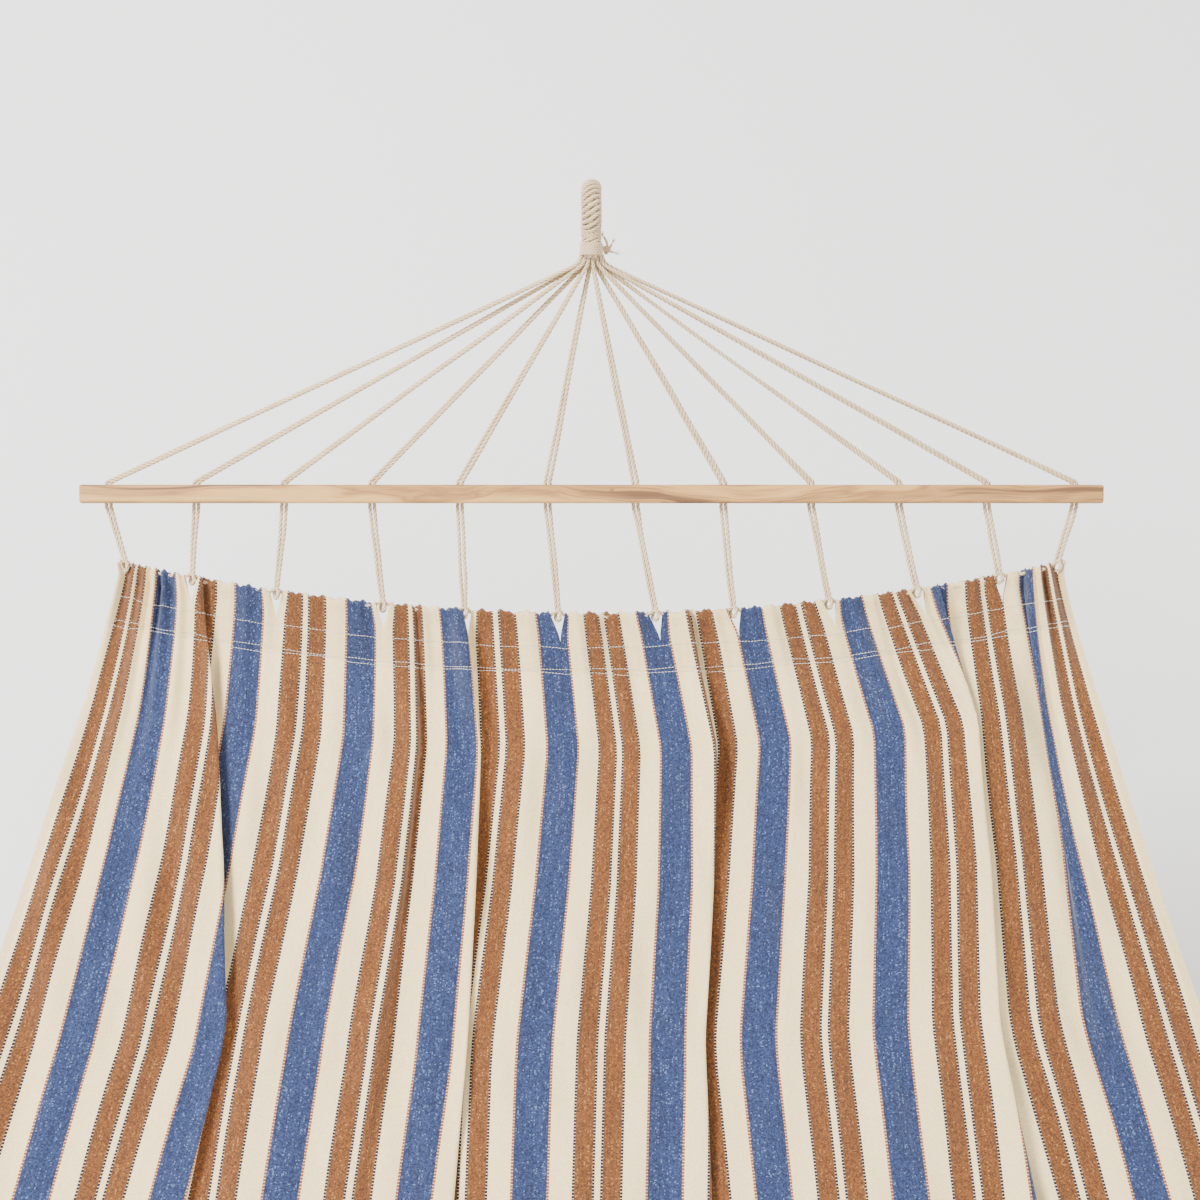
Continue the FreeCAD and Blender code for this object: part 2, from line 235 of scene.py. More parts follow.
class Nodes:
    """Short hand for building one material's nodes."""

    def __init__(self, name):
        self.material = bpy.data.materials.new(name)
        self.material.use_nodes = True
        self.tree = self.material.node_tree
        self.shader = self.tree.nodes["Principled BSDF"]

    def add(self, kind, inputs=None, **settings):
        node = self.tree.nodes.new(kind)
        for key, value in settings.items():
            setattr(node, key, value)
        for key, value in (inputs or {}).items():
            self.put(value, node.inputs[key])
        return node

    def put(self, value, socket):
        if isinstance(value, bpy.types.NodeSocket):
            self.tree.links.new(value, socket)
        else:
            socket.default_value = value

    def math(self, operation, *values):
        node = self.add("ShaderNodeMath", operation=operation)
        for i, value in enumerate(values):
            self.put(value, node.inputs[i])
        return node.outputs[0]

    def mix(self, factor, first, second, blend="MIX"):
        node = self.add("ShaderNodeMix", data_type="RGBA", blend_type=blend)
        self.put(factor, node.inputs[0])
        self.put(first, node.inputs[6])
        self.put(second, node.inputs[7])
        return node.outputs[2]

    def ramp(self, factor, stops, interpolation="LINEAR"):
        node = self.add("ShaderNodeValToRGB")
        node.color_ramp.interpolation = interpolation
        while len(node.color_ramp.elements) < len(stops):
            node.color_ramp.elements.new(1.0)
        for element, (place, colour) in zip(node.color_ramp.elements, stops):
            element.position = place
            element.color = (*colour, 1.0)
        self.put(factor, node.inputs[0])
        return node.outputs[0]

    def noise(self, vector, scale, detail=2.0, roughness=0.5):
        node = self.add("ShaderNodeTexNoise", {"Scale": scale, "Detail": detail, "Roughness": roughness})
        self.put(vector, node.inputs["Vector"])
        return node.outputs["Fac"]

    def stretched(self, vector, scale):
        return self.add("ShaderNodeMapping", {"Vector": vector, "Scale": scale}).outputs[0]

    def speckle(self, vector, cell):
        """One random value for each cell of a grid."""
        snap = self.add("ShaderNodeVectorMath", operation="SNAP")
        self.put(vector, snap.inputs[0])
        snap.inputs[1].default_value = cell
        noise = self.add("ShaderNodeTexWhiteNoise", {"Vector": snap.outputs[0]}, noise_dimensions="3D")
        return noise.outputs["Value"]

    def bump(self, height, strength, distance):
        node = self.add("ShaderNodeBump", {"Strength": strength, "Distance": distance, "Height": height})
        self.tree.links.new(node.outputs[0], self.shader.inputs["Normal"])


def grey(value):
    return (value, value, value)


def wood_material():
    """Pale oiled hardwood: long wavy growth rings along X, fine pores and one small knot."""
    n = Nodes("bar_wood")
    place = n.add("ShaderNodeTexCoord").outputs["Object"]
    drift = n.noise(n.stretched(place, (2.2, 9.0, 9.0)), 1.0, 3.0)
    drifted = n.add("ShaderNodeVectorMath", operation="ADD")
    n.put(n.stretched(place, (1.1, 42.0, 42.0)), drifted.inputs[0])
    n.put(n.add("ShaderNodeCombineXYZ", {"Y": n.math("MULTIPLY", drift, 6.0)}).outputs[0], drifted.inputs[1])
    rings = n.noise(drifted.outputs[0], 1.6, 4.0, 0.55)
    pores = n.noise(n.stretched(place, (22.0, 900.0, 900.0)), 1.0, 3.0, 0.65)
    colour = n.ramp(rings, [(0.36, linear(216, 168, 100)), (0.47, linear(202, 152, 86)),
                            (0.53, linear(160, 112, 62)), (0.57, linear(190, 140, 80)),
                            (0.66, linear(112, 76, 42))])
    streak = n.ramp(pores, [(0.35, grey(0.80)), (0.55, grey(1.0))])
    colour = n.mix(0.75, colour, streak, "MULTIPLY")

    knot_x = 0.022
    knot_y = float(bar_centre[1]) - 0.004
    knot_half_width = 1 / 420
    lengthwise = 0.6  # under 1 draws the knot out along X
    split = n.add("ShaderNodeSeparateXYZ", {"Vector": place})
    from_x = n.math("MULTIPLY", n.math("SUBTRACT", split.outputs[0], knot_x), lengthwise)
    from_y = n.math("SUBTRACT", split.outputs[1], knot_y)
    squares = n.math("ADD", n.math("MULTIPLY", from_x, from_x), n.math("MULTIPLY", from_y, from_y))
    knot = n.math("SUBTRACT", 1.0, n.math("MULTIPLY", n.math("SQRT", squares), 1 / knot_half_width))
    knot = n.add("ShaderNodeClamp", {"Value": knot}).outputs[0]
    colour = n.mix(n.math("MULTIPLY", knot, 0.8), colour, (*linear(96, 62, 40), 1.0))

    n.put(colour, n.shader.inputs["Base Color"])
    n.put(n.ramp(rings, [(0.3, grey(0.46)), (0.7, grey(0.60))]), n.shader.inputs["Roughness"])
    n.shader.inputs["Coat Weight"].default_value = 0.08
    n.shader.inputs["Coat Roughness"].default_value = 0.4
    relief = n.math("ADD", n.math("MULTIPLY", rings, 0.6), n.math("MULTIPLY", pores, 0.4))
    n.bump(relief, 0.35, 0.0006)
    return n.material


def cord_material(name, light, dark, groove_shade_colour):
    """Soft-spun cotton: mottled, with fine fibres, and painted shade in the grooves between its plies."""
    n = Nodes(name)
    place = n.add("ShaderNodeTexCoord").outputs["Object"]
    broad = n.noise(place, 60.0, 2.0)
    fibres = n.noise(place, 1800.0, 3.0, 0.7)
    colour = n.ramp(broad, [(0.25, dark), (0.65, light)])
    colour = n.mix(0.55, colour, n.ramp(fibres, [(0.3, grey(0.78)), (0.6, grey(1.0))]), "MULTIPLY")
    # painted shade: the cord is darker where it lies down between two plies
    groove = n.add("ShaderNodeAttribute", attribute_name="groove").outputs["Fac"]
    colour = n.mix(n.math("MULTIPLY", groove, 0.85), colour, (*groove_shade_colour, 1.0))
    n.put(colour, n.shader.inputs["Base Color"])
    n.shader.inputs["Roughness"].default_value = 0.92
    n.shader.inputs["Sheen Weight"].default_value = 0.35
    n.shader.inputs["Sheen Roughness"].default_value = 0.6
    n.bump(fibres, 0.5, 0.0004)
    return n.material


def striped_colour(n, across, jitter, fleck, along):
    """The stripes' colours, by how far a place is from the middle of the nearest blue stripe."""
    blue = n.ramp(fleck, [(0.0, linear(24, 33, 66)), (0.30, linear(36, 49, 88)),
                          (0.64, linear(49, 65, 106)), (0.88, linear(92, 110, 152))], "CONSTANT")
    rust = n.ramp(fleck, [(0.0, linear(84, 46, 16)), (0.28, linear(110, 63, 22)),
                          (0.66, linear(130, 78, 29)), (0.90, linear(166, 114, 60))], "CONSTANT")
    cream = n.ramp(fleck, [(0.0, linear(244, 212, 150)), (0.5, linear(251, 223, 163)),
                           (0.8, linear(253, 231, 178))])
    # the pin stripes are rows of dots along the cloth
    dot_pitch = 0.0034
    dot_gap = 0.0007
    past_edge = 5.0  # keeps the remainder positive beyond the cloth's end
    dots = n.math("GREATER_THAN", n.math("MODULO", n.math("ADD", along, past_edge), dot_pitch), dot_gap)
    navy = n.mix(dots, cream, (*linear(18, 16, 46), 1.0))
    orange = n.mix(dots, cream, (*linear(146, 74, 34), 1.0))

    # blue stripes have their middles half a repeat off the cloth's own middle
    half = REPEAT / 2
    shifted = n.math("ADD", n.math("ADD", across, jitter), REPEAT * 10)
    inside = n.math("MODULO", shifted, REPEAT)
    share = n.math("DIVIDE", n.math("ABSOLUTE", n.math("SUBTRACT", inside, half)), half)
    cream_end = BLUE / 2 + CREAM
    rust_end = cream_end + RUST
    colour = blue
    for edge, after in ((BLUE / 2, orange), (BLUE / 2 + PIN, cream), (cream_end - PIN / 2, navy),
                        (cream_end + PIN / 2, rust), (rust_end - PIN / 2, navy), (rust_end + PIN / 2, cream)):
        colour = n.mix(n.math("GREATER_THAN", share, edge / half), colour, after)
    return colour


def cloth_material():
    """Plain-woven cotton whose stripes follow the cloth's own flat measure, kept as UV in metres."""
    thread = 0.00135
    yarn_length = 0.022
    selvage_width = 0.010
    n = Nodes("striped_cotton")
    uv = n.add("ShaderNodeUVMap", uv_map="flat").outputs[0]
    split = n.add("ShaderNodeSeparateXYZ", {"Vector": uv})
    across = split.outputs[0]
    along = split.outputs[1]
    waver = n.noise(n.stretched(uv, (4.0, 700.0, 1.0)), 1.0, 1.0)
    jitter = n.math("MULTIPLY", n.math("SUBTRACT", waver, 0.5), 0.0012)
    fleck = n.math("MULTIPLY", n.speckle(uv, (thread, thread * 0.9, 1.0)), 0.78)
    yarn = n.math("MULTIPLY", n.speckle(uv, (thread, yarn_length, 1.0)), 0.22)
    fleck = n.math("ADD", fleck, yarn)
    colour = striped_colour(n, across, jitter, fleck, along)

    # the hem is two layers thick and is painted a little greyer, partly for the second layer and partly as
    # painted shade; the selvage is woven closer, so it shows a little greyer
    from_end = n.math("MINIMUM", along, n.math("SUBTRACT", FLAT_LENGTH, along))
    hem_layers_and_shade = n.math("LESS_THAN", from_end, TURN_IN)
    colour = n.mix(hem_layers_and_shade, colour, (0.90, 0.89, 0.88, 1.0), "MULTIPLY")
    selvage = n.math("GREATER_THAN", n.math("ABSOLUTE", across), FLAT_WIDTH / 2 - selvage_width)
    colour = n.mix(selvage, colour, (0.90, 0.89, 0.87, 1.0), "MULTIPLY")
    mottle = n.noise(n.stretched(uv, (14.0, 5.0, 1.0)), 1.0, 3.0)
    colour = n.mix(1.0, colour, n.ramp(mottle, [(0.2, grey(0.94)), (0.8, grey(1.0))]), "MULTIPLY")
    n.put(colour, n.shader.inputs["Base Color"])
    n.shader.inputs["Roughness"].default_value = 0.93
    n.shader.inputs["Sheen Weight"].default_value = 0.25
    n.shader.inputs["Sheen Roughness"].default_value = 0.5
    warp = n.math("SINE", n.math("MULTIPLY", across, 2 * math.pi / thread))
    weft = n.math("SINE", n.math("MULTIPLY", along, 2 * math.pi / thread))
    weave = n.math("MULTIPLY", n.math("MULTIPLY", warp, weft), 0.5)
    n.bump(n.math("ADD", weave, n.math("MULTIPLY", fleck, 0.6)), 0.45, 0.00035)
    return n.material


# ---------------------------------------------------------------- mesh helpers

def new_piece(name, points, faces, material, uv=None):
    mesh = bpy.data.meshes.new(name)
    mesh.from_pydata(np.asarray(points).tolist(), [], faces)
    mesh.polygons.foreach_set("use_smooth", [True] * len(mesh.polygons))
    if uv is not None:
        layer = mesh.uv_layers.new(name="flat")
        corners = np.empty(len(mesh.loops), dtype=np.int64)
        mesh.loops.foreach_get("vertex_index", corners)
        layer.data.foreach_set("uv", np.asarray(uv)[corners].ravel())
    mesh.materials.append(material)
    mesh.update()
    piece = bpy.data.objects.new(name, mesh)
    bpy.context.scene.collection.objects.link(piece)
    return piece


def resample(path, step):
    """Evenly spaced points along a path, about a step apart."""
    lengths = np.concatenate([[0], np.cumsum(np.linalg.norm(np.diff(path, axis=0), axis=1))])
    count = max(3, int(round(lengths[-1] / step)) + 1)
    places = np.linspace(0, lengths[-1], count)
    return np.stack([np.interp(places, lengths, path[:, k]) for k in range(3)], axis=1), places


def carried_frames(points):
    """Two directions across the path at each point, carried along it without twist."""
    tangents = np.gradient(points, axis=0)
    tangents /= np.linalg.norm(tangents, axis=1)[:, None]
    any_direction = np.array([0.31, 0.24, 0.92])  # no path starts along it
    first = np.cross(tangents[0], any_direction)
    sides = [first / np.linalg.norm(first)]
    for tangent in tangents[1:]:
        side = sides[-1] - tangent * np.dot(sides[-1], tangent)
        sides.append(side / np.linalg.norm(side))
    sides = np.array(sides)
    return sides, np.cross(tangents, sides)


class Bundle:
    """Collects cords into one mesh.

    LOBE is the outline of one ply, as shares of the cord's radius, and GROOVE how far down between two plies
    each point of it lies, which sets how much painted shade the cords' material puts there.
    """

    LOBE = [1.0, 0.92, 0.60, 0.92]
    GROOVE = [0.0, 0.25, 1.0, 0.25]
    CUT_END = 0.55  # an end's radius, as a share of the cord's

    def __init__(self):
        self.points = []
        self.faces = []
        self.grooves = []
        self.count = 0

    def add(self, path, radius, lay=LAY, step=0.0022, turn=0.0, plies=3):
        """A twisted cord: its section has a lobe for each ply, which turns once in a lay."""
        points, places = resample(np.asarray(path, float), step)
        side, other = carried_frames(points)
        corners = plies * len(self.LOBE)
        angles = np.arange(corners) * 2 * math.pi / corners
        angles = angles[None, :] + turn + places[:, None] * 2 * math.pi / lay
        reach = radius * np.tile(self.LOBE, plies)[None, :]
        taper = np.ones(len(points))
        taper[0] = taper[-1] = self.CUT_END
        reach = reach * taper[:, None]
        ring = (points[:, None, :] + side[:, None, :] * (np.cos(angles) * reach)[..., None]
                + other[:, None, :] * (np.sin(angles) * reach)[..., None])
        self.points.append(ring.reshape(-1, 3))
        self.grooves.append(np.tile(self.GROOVE, plies * len(points)))
        start = self.count
        for row in range(len(points) - 1):
            low = start + row * corners
            for k in range(corners):
                after = (k + 1) % corners
                self.faces.append((low + k, low + after, low + corners + after, low + corners + k))
        self.faces.append(tuple(start + k for k in reversed(range(corners))))
        last = start + (len(points) - 1) * corners
        self.faces.append(tuple(last + k for k in range(corners)))
        self.count += len(points) * corners

    def piece(self, name, material, end):
        piece = new_piece(name, for_end(np.concatenate(self.points), end), self.faces, material)
        # this attribute sets how much painted shade the cords' material puts between the plies
        layer = piece.data.attributes.new("groove", "FLOAT", "POINT")
        layer.data.foreach_set("value", np.concatenate(self.grooves))
        return piece


def curve_through(points):
    """A smooth path by repeatedly cutting the corners of a given route, which keeps its ends."""
    passes = 3
    path = np.asarray(points, float)
    for _ in range(passes):
        near = path[:-1] * 0.75 + path[1:] * 0.25
        far = path[:-1] * 0.25 + path[1:] * 0.75
        cut = np.stack([near, far], axis=1).reshape(-1, 3)
        path = np.concatenate([path[:1], cut[1:-1], path[-1:]])
    return path


def unevenness(path, amount):
    """A slack cord's small waver: smooth random offsets that vanish at its ends."""
    places = np.linspace(0, 1, len(path))
    drift = np.zeros_like(path)
    for wave in (1, 2, 3, 5):
        drift += rng.normal(0, amount / wave, 3)[None, :] * np.sin(wave * math.pi * places)[:, None]
    return path + drift


# ---------------------------------------------------------------- cords

def upper_strands(number, x):
    """Both strands of one doubled cord, from inside the neck binding to inside the bar's hole."""
    neck_spread = 0.0105
    layer = FAN_LAYER if number % 2 else -FAN_LAYER
    rank = (number - (CORDS + 1) / 2) / ((CORDS - 1) / 2)
    paths = []
    for side in (-1, 1):
        off = layer + side * FAN_LAYER / 2
        start_x = rank * neck_spread + side * 0.0004
        fold = on_slope(upper_fold, BAR_TILT, x + side * TWIN, 0.0, 0.0)
        in_hole = on_slope(upper_fold, BAR_TILT, x + side * TWIN_IN_BAR, -INTO_HOLE, 0.0)
        in_binding = on_slope(neck, FAN_SLOPE, start_x, 0.007, off * 0.9)
        edge = on_slope(neck, FAN_SLOPE, start_x * 1.25, -0.004, off)
        length = np.linalg.norm(fold - edge)
        run = (fold - edge) / length
        bend = [in_binding, edge, edge + run * 0.016]
        straight = edge + run * np.linspace(0.030, length - 0.004, 12)[:, None]
        head = np.concatenate([curve_through(bend), unevenness(straight, 0.0005)])
        tail = curve_through([straight[-1], fold, in_hole])
        paths.append(np.concatenate([head, tail[1:]]))
    return paths


def make_upper_cords(end, material):
    for number, x in enumerate(HOLES, start=1):
        bundle = Bundle()
        for path in upper_strands(number, x):
            bundle.add(path, STRAND, turn=rng.uniform(0, 6))
        node = f"{end}_upper_cord_{number:02d}"
        piece = bundle.piece(f"{node}_rope", material, end)
        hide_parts(node)
        start = for_end(on_slope(upper_fold, BAR_TILT, 0.0, BLEND_OUTSIDE, 0.0), end)
        stop = for_end(on_slope(upper_fold, BAR_TILT, 0.0, -BLEND_IN_BAR, 0.0), end)
        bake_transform(piece)


def make_bar_cords(end, material):
    half_length = 0.0065
    bundle = Bundle()
    for x in HOLES:
        for side in (-1, 1):
            along = np.linspace(half_length, -half_length, 4)
            bundle.add(on_slope(bar_centre, BAR_TILT, x + side * TWIN_IN_BAR, along, 0.0), STRAND)
    piece = bundle.piece(f"{end}_bar_ropes", material, end)
    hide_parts(f"{end}_bar_cords")
    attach(piece, f"{end}_bar")


def lower_loop(x, hem_x):
    """One doubled cord below the bar: down, round the header rope and up again."""
    turn = 0.0050
    half_gap = 0.0030
    top = -(float(hem_line(hem_x)) + CHANNEL)
    around = []
    for angle in np.linspace(math.radians(60), math.radians(-240), 13):
        around.append(on_slope(lower_fold, BED_SLOPE, hem_x + half_gap * math.cos(angle),
                               top + turn * math.sin(angle), turn * math.cos(angle)))
    near = on_slope(lower_fold, BED_SLOPE, x + TWIN, 0.0, 0.0)
    far = on_slope(lower_fold, BED_SLOPE, x - TWIN, 0.0, 0.0)
    near_in_hole = on_slope(lower_fold, BAR_TILT, x + TWIN_IN_BAR, INTO_HOLE, 0.0)
    far_in_hole = on_slope(lower_fold, BAR_TILT, x - TWIN_IN_BAR, INTO_HOLE, 0.0)
    down = near + (around[0] - near) * np.linspace(0.08, 0.93, 8)[:, None]
    back = far + (around[-1] - far) * np.linspace(0.93, 0.08, 8)[:, None]
    return curve_through([near_in_hole, near, *unevenness(down, 0.0006), *around,
                          *unevenness(back, 0.0006), far, far_in_hole])


def make_lower_loops(end, material):
    bundle = Bundle()
    for x, hem_x in zip(HOLES, HEM_PLACES):
        bundle.add(lower_loop(x, hem_x), STRAND, turn=rng.uniform(0, 6))
    piece = bundle.piece(f"{end}_lower_ropes", material, end)
    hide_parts(f"{end}_lower_loops")
    start = for_end(on_slope(lower_fold, BAR_TILT, 0.0, BLEND_IN_BAR, 0.0), end)
    stop = for_end(on_slope(lower_fold, BAR_TILT, 0.0, -BLEND_OUTSIDE, 0.0), end)
    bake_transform(piece)


def make_header_rope(end, channel, material):
    """Runs along the middle of the hem's channel and is drawn up to a point by each cord.

    channel holds rows of x and of the channel's height over the bed's middle surface.
    """
    half_length = 0.509
    window = 15
    drawn_up = 0.0060
    drawn_width = 0.010
    x = np.linspace(-half_length, half_length, 510)
    order = np.argsort(channel[:, 0])
    height = np.pad(np.interp(x, channel[order, 0], channel[order, 1]), window // 2, "edge")
    height = np.convolve(height, np.ones(window) / window, "valid")
    along = -(hem_line(x) + CHANNEL)
    for place in HEM_PLACES:
        along += drawn_up * np.clip(1 - np.abs(x - place) / drawn_width, 0, None)
    rope = on_slope(lower_fold, BED_SLOPE, x, along, 0.0)
    rope[:, 2] += height
    bundle = Bundle()
    bundle.add(rope, 0.0021)

    # a stopper knot at each end
    knot = 0.0022
    angles = np.linspace(0, 2.2 * math.pi, 24)
    coil = np.stack([0.0012 * np.sin(angles / 2), knot * np.cos(angles), knot * np.sin(angles)], axis=1)
    for stop in (rope[0], rope[-1]):
        bundle.add(stop + coil, 0.0019, step=0.0012)
    piece = bundle.piece(f"{end}_hem_rope", material, end)
    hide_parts(f"{end}_header_rope")
    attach(piece, "bed")
    return piece


# ---------------------------------------------------------------- eye

EYE_LENGTH = 0.085
EYE_WIDTH = 0.067
LEG = 0.011  # outside radius of a whipped leg
LEG_SPACE = 0.0112  # from the eye's middle to a leg's
SHOULDER = 0.018
BINDING = (0.004, 0.019)  # where the binding starts and ends, from the neck


def eye_loop(foot_height):
    """The eye's middle line in its own plane: across and up from the neck, as an array of rows."""
    ring = EYE_WIDTH / 2 - LEG
    ring_height = EYE_LENGTH - LEG - ring
    shoulder_height = ring_height - math.sqrt((ring + SHOULDER)**2 - (LEG_SPACE + SHOULDER)**2)
    bend = math.atan2(ring_height - shoulder_height, -(LEG_SPACE + SHOULDER))
    leg = [(LEG_SPACE, height) for height in np.arange(foot_height, shoulder_height, 0.0006)]
    shoulder = [(LEG_SPACE + SHOULDER + SHOULDER * math.cos(a), shoulder_height + SHOULDER * math.sin(a))
                for a in np.linspace(math.pi, bend, 24)]
    top = [(ring * math.cos(a), ring_height + ring * math.sin(a))
           for a in np.linspace(bend - math.pi, math.pi / 2, 48)]
    half = leg + shoulder + top
    other = [(-across, height) for across, height in reversed(half)]
    return np.array(half + other[1:])


def eye_points(loop):
    return on_slope(neck, FAN_SLOPE, 0.0, loop[:, 1], loop[:, 0])


def make_whipping(end, material):
    """Five cords laid side by side and wound together round the bundle, so that the turns slant."""
    starts = 5
    cord = 0.0023
    lead = 0.0255
    middle, places = resample(eye_points(eye_loop(BINDING[0] + 0.006)), 0.0009)
    side, other = carried_frames(middle)
    bundle = Bundle()
    for start in range(starts):
        angle = 2 * math.pi * (start / starts + places / lead)
        reach = LEG - cord * 0.9 + 0.0003 * np.sin(places * 410 + start * 2)
        coil = middle + side * (np.cos(angle) * reach)[:, None] + other * (np.sin(angle) * reach)[:, None]
        bundle.add(coil, cord, lay=0.011, step=0.0016, turn=start)
    piece = bundle.piece(f"{end}_eye_cord", material, end)
    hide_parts(f"{end}_eye_whipping")
    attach(piece, f"{end}_eye")


def make_core(end, material):
    """The strands inside the whipping, as a plain fat lay that only shows between turns."""
    bundle = Bundle()
    bundle.add(eye_points(eye_loop(BINDING[0] - 0.002)), LEG - 0.0032, lay=0.09, step=0.003, plies=5)
    piece = bundle.piece(f"{end}_eye_bundle", material, end)
    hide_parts(f"{end}_eye_core")
    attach(piece, f"{end}_eye")


def round_both_legs(share, radius):
    """A place a share of the way round the two legs, as across and out: two straights and two half circles."""
    straight = 2 * LEG_SPACE
    arc = math.pi * radius
    at = share * 2 * (straight + arc)
    if at < straight:
        return -LEG_SPACE + at, radius
    if at < straight + arc:
        angle = math.pi / 2 - (at - straight) / radius
        return LEG_SPACE + radius * math.cos(angle), radius * math.sin(angle)
    if at < 2 * straight + arc:
        return LEG_SPACE - (at - straight - arc), -radius
    angle = -math.pi / 2 - (at - 2 * straight - arc) / radius
    return -LEG_SPACE + radius * math.cos(angle), radius * math.sin(angle)


def make_binding(end, material):
    """Cord wound level round both legs, drawn tight."""
    cord = 0.0019
    radius = 0.0125 - cord
    steps_per_turn = 64
    steps = int(4.6 * steps_per_turn)
    low = BINDING[0] + cord
    high = BINDING[1] - cord
    path = []
    for i in range(steps + 1):
        across, out = round_both_legs(i / steps_per_turn % 1.0, radius)
        path.append(on_slope(neck, FAN_SLOPE, out, low + (high - low) * i / steps, across))
    bundle = Bundle()
    bundle.add(np.array(path), cord, lay=0.010, step=0.0016)
    piece = bundle.piece(f"{end}_neck_cord", material, end)
    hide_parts(f"{end}_neck_binding")
    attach(piece, f"{end}_eye")


# the routes of the knot's tails, across and up from the knot's middle
KNOT_TAILS = [
    ((0.001, 0.003), (0.0005, 0.0085), (-0.003, 0.0135)),
    ((0.002, 0.0), (0.0045, 0.003), (0.0060, 0.0065)),
    ((0.001, -0.001), (0.0045, -0.0022), (0.0080, -0.0028)),
]


def make_knot(end, material):
    """The binding's overhand knot, with three short tails frayed into fibres."""
    centre_x = 0.0160
    centre_up = 0.0110
    size = 0.00125
    fibre_length = 0.0045

    def place(local):
        return on_slope(neck, FAN_SLOPE, centre_x + local[..., 0], centre_up + local[..., 1], local[..., 2])

    angles = np.linspace(0, 2 * math.pi, 90)
    overhand = size * np.stack([np.sin(angles) + 2 * np.sin(2 * angles),
                                np.cos(angles) - 2 * np.cos(2 * angles), -np.sin(3 * angles)], axis=1)
    bundle = Bundle()
    bundle.add(place(overhand), 0.0017, lay=0.009, step=0.0012)
    for tail in KNOT_TAILS:
        route = np.array([(x, up, 0.001) for x, up in tail])
        bundle.add(place(curve_through(route)), 0.0014, lay=0.008, step=0.0012)
        tip = route[-1]
        away = (route[-1] - route[-2]) / np.linalg.norm(route[-1] - route[-2])
        for _ in range(9):
            spread = away + rng.normal(0, 0.35, 3)
            middle = tip + spread * 0.0022
            fibre = np.array([tip, middle, tip + spread * fibre_length + rng.normal(0, 0.0006, 3)])
            bundle.add(place(curve_through(fibre)), 0.00035, lay=0.004, step=0.0012)
    piece = bundle.piece(f"{end}_knot_cord", material, end)
    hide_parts(f"{end}_binding_knot")
    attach(piece, f"{end}_eye")


# ---------------------------------------------------------------- bed cloth

# Folds that the gathered cloth falls into.  middle is the hidden strip's middle at the hem and at the last of
# FOLD_PLACES, hidden its width at each of FOLD_PLACES, and top which side lies on top (-1 is the left).
FOLD_PLACES = (0.0, 0.15, 0.30, 0.46)
FOLDS_GONE = 1.0

FOLDS = [
    {"middle": (-0.578, -0.462), "hidden": (0.020, 0.030, 0.038, 0.044), "top": -1},
    {"middle": (-0.188, -0.160), "hidden": (0.016, 0.021, 0.028, 0.035), "top": -1},
    {"middle": (0.128, 0.134), "hidden": (0.012, 0.020, 0.034, 0.044), "top": -1},
    {"middle": (0.496, 0.499), "hidden": (0.005, 0.054, 0.058, 0.056), "top": -1},
    {"middle": (0.632, 0.628), "hidden": (0.006, 0.024, 0.020, 0.002), "top": 1},
    {"middle": (-0.272, -0.268), "hidden": (0.006, 0.009, 0.010, 0.004), "top": -1},
]
NOTCH_DEPTH = 0.028
CORNER_NOTCH_DEPTH = 0.012
NOTCH_HALF = 0.0082
STITCH_ROWS = (0.038, 0.0625, 0.0668)


def half_width(distance):
    share = np.clip((distance - HEM_CORNER_DROP) / (HALF_RUN - HEM_CORNER_DROP), 0, 1)
    return HEM_HALF_WIDTH + (MIDDLE_HALF_WIDTH - HEM_HALF_WIDTH) * np.sin(share * math.pi / 2)**1.2


def smooth(low, high, value):
    share = np.clip((value - low) / (high - low), 0, 1)
    return share * share * (3 - 2 * share)


def random_along(u, low, high, count):
    """Values that wander between two bounds across the cloth."""
    return np.interp(u, np.linspace(-FLAT_WIDTH / 2, FLAT_WIDTH / 2, count), rng.uniform(low, high, count))


def one_fold(u, middle, hidden, top):
    """What one fold adds at one row: how far the cloth's x falls behind u, and its height."""
    if hidden < 0.0008:
        return np.zeros_like(u), np.zeros_like(u)
    turn = 0.0055
    recovery = 0.075
    samples = 240
    reach = hidden * 0.22 + turn
    fine = np.linspace(middle - reach - turn, middle + reach + turn, samples)
    shape = smooth(middle - reach - turn, middle - reach + turn, fine)
    shape *= 1 - smooth(middle + reach - turn, middle + reach + turn, fine)
    step = fine[1] - fine[0]
    # the cloth's steepest angle is the one that hides the right width
    low, high = 0.0, math.radians(172)
    for _ in range(24):
        angle = (low + high) / 2
        if np.sum(1 - np.cos(angle * shape)) * step < hidden:
            low = angle
        else:
            high = angle
    lost = np.cumsum(1 - np.cos(angle * shape)) * step
    height = np.cumsum(np.sin(angle * shape)) * step * top
    # the covered strip runs from one edge of the turned-back layer to where the lower layer comes out past the
    # other edge
    place = fine - lost
    half = samples // 2
    crest = int(np.argmax(place[:half]))
    valley = half + int(np.argmin(place[half:]))
    if place[crest] > place[valley]:
        overlap = place[crest] - place[valley]
        if top < 0:
            covered = (fine[crest], fine[valley] + overlap)
        else:
            covered = (fine[crest] - overlap, fine[valley])
        fine = fine + middle - sum(covered) / 2
    lost_at = np.interp(u, fine, lost, left=0.0, right=lost[-1])
    height_at = np.interp(u, fine, height, left=0.0, right=height[-1])
    recovered = smooth(middle - recovery, middle + recovery, u) * height[-1]
    return lost_at, height_at - recovered


def flat_columns():
    """Places across the flat cloth, close enough for the folds, the same on both sides of its middle."""
    count = 600
    return (np.arange(count + 1) / count - 0.5) * FLAT_WIDTH


def flat_rows():
    """Places down the head half of the cloth: from the turned-in edge, round the hem's fold, to the middle."""
    under = -np.array([TURN_IN, 0.052, 0.040, 0.032, 0.024, 0.018,
                       0.013, 0.0095, 0.0068, 0.0045, 0.0026, 0.0010])
    over = -under[::-1][:-1]
    upper = np.arange(TURN_IN, 0.56, 0.0155)
    lower = np.linspace(0.57, HALF_LENGTH, 20)
    return np.concatenate([under, [0.0], over, upper, lower])


